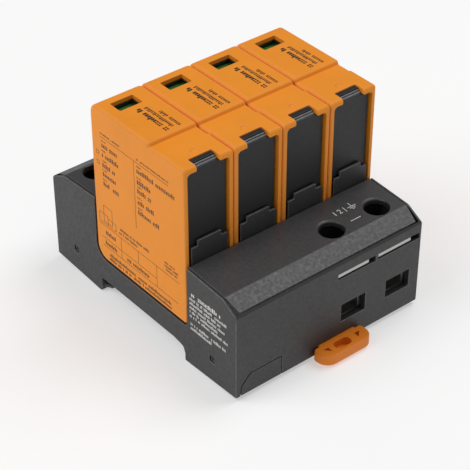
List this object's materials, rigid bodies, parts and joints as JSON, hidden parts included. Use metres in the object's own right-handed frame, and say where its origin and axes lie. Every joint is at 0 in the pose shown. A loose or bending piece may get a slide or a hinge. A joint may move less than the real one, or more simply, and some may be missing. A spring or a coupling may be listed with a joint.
{
  "type": "din rail surge arrester",
  "caption": "Black rail-mounted base with screw terminals at both ends, holding a row of orange plug-in surge modules with status windows.",
  "frame": {"origin": "middle of the footprint of the whole object, rail foot included, at the height of the base's lowest toes", "axes": "+X along the mounting rail, from the module at L1 to the one at N; +Y from the earth terminals to the line terminals; +Z away from the rail"},
  "size_m": [0.072, 0.0962, 0.069],
  "materials": {
    "black_housing": "fine grain",
    "black_insert": "fine grain",
    "orange_cap": "satin",
    "orange_foot": "satin",
    "zinc_plated_steel": "bright zinc",
    "tinned_copper": "tin plating",
    "green_flag": "plain",
    "varistor_coating": "epoxy coat"
  },
  "bodies": {
    "base": {"base_housing": "black_housing", "front_terminal_cover": "black_housing", "rear_terminal_cover": "black_housing", "signal_port_blank": "black_housing", "earth_busbar": "tinned_copper", "earth_contact_1": "tinned_copper", "earth_contact_2": "tinned_copper", "earth_contact_3": "tinned_copper", "earth_contact_4": "tinned_copper", "line_contact_l1": "tinned_copper", "line_contact_l2": "tinned_copper", "line_contact_l3": "tinned_copper", "line_contact_n": "tinned_copper"},
    "rail_foot": {"rail_foot": "orange_foot"},
    "terminal_screw_pe_1": {"terminal_screw_pe_1": "zinc_plated_steel"},
    "terminal_screw_pe_2": {"terminal_screw_pe_2": "zinc_plated_steel"},
    "terminal_screw_l1": {"terminal_screw_l1": "zinc_plated_steel"},
    "terminal_screw_l2": {"terminal_screw_l2": "zinc_plated_steel"},
    "terminal_screw_l3": {"terminal_screw_l3": "zinc_plated_steel"},
    "terminal_screw_n": {"terminal_screw_n": "zinc_plated_steel"},
    "clamp_cage_pe_1": {"clamp_cage_pe_1": "zinc_plated_steel"},
    "clamp_cage_pe_2": {"clamp_cage_pe_2": "zinc_plated_steel"},
    "clamp_cage_l1": {"clamp_cage_l1": "zinc_plated_steel"},
    "clamp_cage_l2": {"clamp_cage_l2": "zinc_plated_steel"},
    "clamp_cage_l3": {"clamp_cage_l3": "zinc_plated_steel"},
    "clamp_cage_n": {"clamp_cage_n": "zinc_plated_steel"},
    "module_1": {"module_1_cap": "orange_cap", "module_1_insert": "black_insert", "module_1_varistor": "varistor_coating", "module_1_blade_front": "tinned_copper", "module_1_blade_rear": "tinned_copper"},
    "module_2": {"module_2_cap": "orange_cap", "module_2_insert": "black_insert", "module_2_varistor": "varistor_coating", "module_2_blade_front": "tinned_copper", "module_2_blade_rear": "tinned_copper"},
    "module_3": {"module_3_cap": "orange_cap", "module_3_insert": "black_insert", "module_3_varistor": "varistor_coating", "module_3_blade_front": "tinned_copper", "module_3_blade_rear": "tinned_copper"},
    "module_4": {"module_4_cap": "orange_cap", "module_4_insert": "black_insert", "module_4_varistor": "varistor_coating", "module_4_blade_front": "tinned_copper", "module_4_blade_rear": "tinned_copper"},
    "module_1_flag": {"module_1_flag": "green_flag"},
    "module_2_flag": {"module_2_flag": "green_flag"},
    "module_3_flag": {"module_3_flag": "green_flag"},
    "module_4_flag": {"module_4_flag": "green_flag"}
  },
  "joints": [
    {"name": "rail_foot_slide", "type": "slide", "parent": "base", "child": "rail_foot", "axis": [0, -1, 0], "range_m": [0, 0.005], "stiffness_N_per_m": 2000, "springref_m": -0.002},
    {"name": "clamp_cage_pe_1_lift", "type": "slide", "parent": "base", "child": "clamp_cage_pe_1", "axis": [0, 0, 1], "range_m": [0, 0.004]},
    {"name": "clamp_cage_pe_2_lift", "type": "slide", "parent": "base", "child": "clamp_cage_pe_2", "axis": [0, 0, 1], "range_m": [0, 0.004]},
    {"name": "clamp_cage_l1_lift", "type": "slide", "parent": "base", "child": "clamp_cage_l1", "axis": [0, 0, 1], "range_m": [0, 0.004]},
    {"name": "clamp_cage_l2_lift", "type": "slide", "parent": "base", "child": "clamp_cage_l2", "axis": [0, 0, 1], "range_m": [0, 0.004]},
    {"name": "clamp_cage_l3_lift", "type": "slide", "parent": "base", "child": "clamp_cage_l3", "axis": [0, 0, 1], "range_m": [0, 0.004]},
    {"name": "clamp_cage_n_lift", "type": "slide", "parent": "base", "child": "clamp_cage_n", "axis": [0, 0, 1], "range_m": [0, 0.004]},
    {"name": "terminal_screw_pe_1_turn", "type": "hinge", "parent": "base", "child": "terminal_screw_pe_1", "pos_m": [0.009, -0.03105, 0.022], "axis": [0, 0, -1], "range_deg": [0, 1800]},
    {"name": "terminal_screw_pe_2_turn", "type": "hinge", "parent": "base", "child": "terminal_screw_pe_2", "pos_m": [0.027, -0.03105, 0.022], "axis": [0, 0, -1], "range_deg": [0, 1800]},
    {"name": "terminal_screw_l1_turn", "type": "hinge", "parent": "base", "child": "terminal_screw_l1", "pos_m": [-0.027, 0.03735, 0.022], "axis": [0, 0, -1], "range_deg": [0, 1800]},
    {"name": "terminal_screw_l2_turn", "type": "hinge", "parent": "base", "child": "terminal_screw_l2", "pos_m": [-0.009, 0.03735, 0.022], "axis": [0, 0, -1], "range_deg": [0, 1800]},
    {"name": "terminal_screw_l3_turn", "type": "hinge", "parent": "base", "child": "terminal_screw_l3", "pos_m": [0.009, 0.03735, 0.022], "axis": [0, 0, -1], "range_deg": [0, 1800]},
    {"name": "terminal_screw_n_turn", "type": "hinge", "parent": "base", "child": "terminal_screw_n", "pos_m": [0.027, 0.03735, 0.022], "axis": [0, 0, -1], "range_deg": [0, 1800]},
    {"name": "module_1_pull", "type": "slide", "parent": "base", "child": "module_1", "axis": [0, 0, 1], "range_m": [0, 0.03]},
    {"name": "module_2_pull", "type": "slide", "parent": "base", "child": "module_2", "axis": [0, 0, 1], "range_m": [0, 0.03]},
    {"name": "module_3_pull", "type": "slide", "parent": "base", "child": "module_3", "axis": [0, 0, 1], "range_m": [0, 0.03]},
    {"name": "module_4_pull", "type": "slide", "parent": "base", "child": "module_4", "axis": [0, 0, 1], "range_m": [0, 0.03]},
    {"name": "module_1_flag_slide", "type": "slide", "parent": "module_1", "child": "module_1_flag", "axis": [0, -1, 0], "range_m": [0, 0.0065]},
    {"name": "module_2_flag_slide", "type": "slide", "parent": "module_2", "child": "module_2_flag", "axis": [0, -1, 0], "range_m": [0, 0.0065]},
    {"name": "module_3_flag_slide", "type": "slide", "parent": "module_3", "child": "module_3_flag", "axis": [0, -1, 0], "range_m": [0, 0.0065]},
    {"name": "module_4_flag_slide", "type": "slide", "parent": "module_4", "child": "module_4_flag", "axis": [0, -1, 0], "range_m": [0, 0.0065]}
  ],
  "couplings": [
    {"joint": "terminal_screw_pe_1_turn", "follows": "clamp_cage_pe_1_lift", "rad_per_m": 7853.9},
    {"joint": "terminal_screw_pe_2_turn", "follows": "clamp_cage_pe_2_lift", "rad_per_m": 7853.9},
    {"joint": "terminal_screw_l1_turn", "follows": "clamp_cage_l1_lift", "rad_per_m": 7853.9},
    {"joint": "terminal_screw_l2_turn", "follows": "clamp_cage_l2_lift", "rad_per_m": 7853.9},
    {"joint": "terminal_screw_l3_turn", "follows": "clamp_cage_l3_lift", "rad_per_m": 7853.9},
    {"joint": "terminal_screw_n_turn", "follows": "clamp_cage_n_lift", "rad_per_m": 7853.9}
  ]
}
